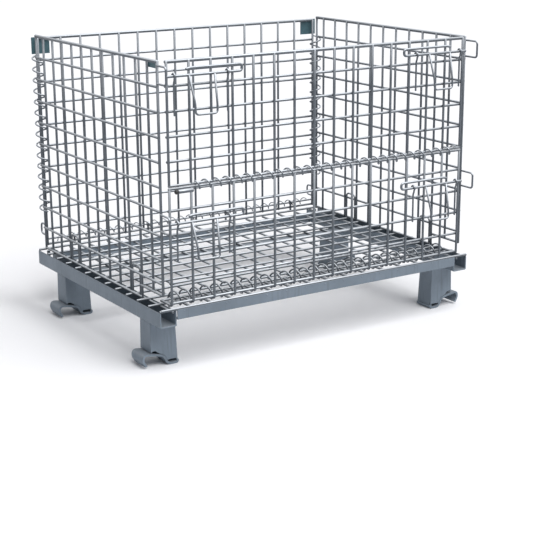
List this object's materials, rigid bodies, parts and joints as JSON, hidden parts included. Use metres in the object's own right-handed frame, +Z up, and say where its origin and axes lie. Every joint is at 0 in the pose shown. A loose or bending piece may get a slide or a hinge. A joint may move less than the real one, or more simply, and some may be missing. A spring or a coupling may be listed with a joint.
{
  "type": "wire mesh container",
  "caption": "Folding wire mesh container on pressed steel feet, with spring-hinged walls, a half-drop gate and sliding bolts.",
  "frame": {"origin": "centre of the bounding box at floor level, where the feet stand", "axes": "+X to the container's right seen from the front, +Y from the gate to the back panel, +Z up"},
  "size_m": [0.848, 0.66, 0.64],
  "materials": {
    "zinc_wire": "satin zinc plating",
    "pressed_steel": "satin zinc plating on pressed sheet",
    "painted_plate": "satin blue-green paint",
    "black_cap": "matte"
  },
  "bodies": {
    "base": {"channel_left": "pressed_steel", "channel_right": "pressed_steel", "front_rail": "pressed_steel", "rear_rail": "pressed_steel", "support_bar": "pressed_steel", "deck_mesh": "zinc_wire", "front_coil": "zinc_wire", "leg_front_left": "pressed_steel", "leg_front_right": "pressed_steel", "leg_rear_left": "pressed_steel", "leg_rear_right": "pressed_steel", "foot_front_left": "pressed_steel", "foot_front_right": "pressed_steel", "foot_rear_left": "pressed_steel", "foot_rear_right": "pressed_steel", "hinge_lug_1": "zinc_wire", "hinge_lug_2": "zinc_wire", "hinge_lug_3": "zinc_wire", "hinge_lug_4": "zinc_wire"},
    "back": {"back_mesh": "zinc_wire", "corner_coil_left": "zinc_wire", "corner_coil_right": "zinc_wire", "corner_plate_left": "painted_plate", "corner_plate_right": "painted_plate", "rear_hook_left": "zinc_wire", "rear_hook_right": "zinc_wire"},
    "left_pivot": {"swing_pin_left": "zinc_wire"},
    "left_side": {"side_mesh_left": "zinc_wire", "keeper_lower_left": "zinc_wire", "keeper_upper_left": "zinc_wire", "stop_front_left": "zinc_wire", "stop_rear_left": "zinc_wire", "corner_tag": "painted_plate"},
    "right_pivot": {"swing_pin_right": "zinc_wire"},
    "right_side": {"side_mesh_right": "zinc_wire", "keeper_lower_right": "zinc_wire", "keeper_upper_right": "zinc_wire", "stop_front_right": "zinc_wire", "stop_rear_right": "zinc_wire"},
    "front": {"front_mesh": "zinc_wire", "gate_coil": "zinc_wire", "coil_sleeve": "zinc_wire", "sleeve_cap": "black_cap", "guide_inner_lower_left": "zinc_wire", "guide_inner_lower_right": "zinc_wire", "guide_outer_lower_left": "zinc_wire", "guide_outer_lower_right": "zinc_wire"},
    "gate": {"gate_mesh": "zinc_wire", "guide_inner_upper_left": "zinc_wire", "guide_inner_upper_right": "zinc_wire", "guide_outer_upper_left": "zinc_wire", "guide_outer_upper_right": "zinc_wire"},
    "bolt_lower_left": {"bolt_lower_left": "zinc_wire"},
    "bail_lower_left": {"bail_lower_left": "zinc_wire"},
    "bolt_lower_right": {"bolt_lower_right": "zinc_wire"},
    "bail_lower_right": {"bail_lower_right": "zinc_wire"},
    "bolt_upper_left": {"bolt_upper_left": "zinc_wire"},
    "bail_upper_left": {"bail_upper_left": "zinc_wire"},
    "bolt_upper_right": {"bolt_upper_right": "zinc_wire"},
    "bail_upper_right": {"bail_upper_right": "zinc_wire"}
  },
  "joints": [
    {"name": "back_fold", "type": "hinge", "parent": "base", "child": "back", "pos_m": [0, 0.301, 0.1566], "axis": [1, 0, 0], "range_deg": [0, 90]},
    {"name": "left_swing", "type": "hinge", "parent": "base", "child": "left_pivot", "pos_m": [-0.385, 0.292, 0.115], "axis": [0, 0, 1], "range_deg": [0, 90]},
    {"name": "left_lay", "type": "hinge", "parent": "left_pivot", "child": "left_side", "pos_m": [-0.3997, 0, 0.1303], "axis": [0, -1, 0], "range_deg": [0, 90]},
    {"name": "right_swing", "type": "hinge", "parent": "base", "child": "right_pivot", "pos_m": [0.385, 0.292, 0.115], "axis": [0, 0, -1], "range_deg": [0, 90]},
    {"name": "right_lay", "type": "hinge", "parent": "right_pivot", "child": "right_side", "pos_m": [0.4043, 0, 0.1349], "axis": [0, 1, 0], "range_deg": [0, 90]},
    {"name": "front_fold", "type": "hinge", "parent": "base", "child": "front", "pos_m": [0, -0.253, 0.142], "axis": [-1, 0, 0], "range_deg": [0, 90]},
    {"name": "gate_drop", "type": "hinge", "parent": "front", "child": "gate", "pos_m": [0, -0.3, 0.387], "axis": [1, 0, 0], "range_deg": [0, 150]},
    {"name": "bolt_slide_lower_left", "type": "slide", "parent": "front", "child": "bolt_lower_left", "axis": [-1, 0, 0], "range_m": [0, 0.028]},
    {"name": "bail_lift_lower_left", "type": "hinge", "parent": "bolt_lower_left", "child": "bail_lower_left", "pos_m": [-0.301, -0.3035, 0.313], "axis": [1, 0, 0], "range_deg": [-90, 0]},
    {"name": "bolt_slide_lower_right", "type": "slide", "parent": "front", "child": "bolt_lower_right", "axis": [1, 0, 0], "range_m": [0, 0.028]},
    {"name": "bail_lift_lower_right", "type": "hinge", "parent": "bolt_lower_right", "child": "bail_lower_right", "pos_m": [0.301, -0.3035, 0.313], "axis": [1, 0, 0], "range_deg": [-90, 0]},
    {"name": "bolt_slide_upper_left", "type": "slide", "parent": "gate", "child": "bolt_upper_left", "axis": [-1, 0, 0], "range_m": [0, 0.028]},
    {"name": "bail_lift_upper_left", "type": "hinge", "parent": "bolt_upper_left", "child": "bail_upper_left", "pos_m": [-0.301, -0.3035, 0.608], "axis": [1, 0, 0], "range_deg": [-90, 0]},
    {"name": "bolt_slide_upper_right", "type": "slide", "parent": "gate", "child": "bolt_upper_right", "axis": [1, 0, 0], "range_m": [0, 0.028]},
    {"name": "bail_lift_upper_right", "type": "hinge", "parent": "bolt_upper_right", "child": "bail_upper_right", "pos_m": [0.301, -0.3035, 0.608], "axis": [1, 0, 0], "range_deg": [-90, 0]}
  ],
  "couplings": [
    {"joint": "left_lay", "follows": "back_fold", "ratio": 1},
    {"joint": "right_lay", "follows": "back_fold", "ratio": 1}
  ]
}
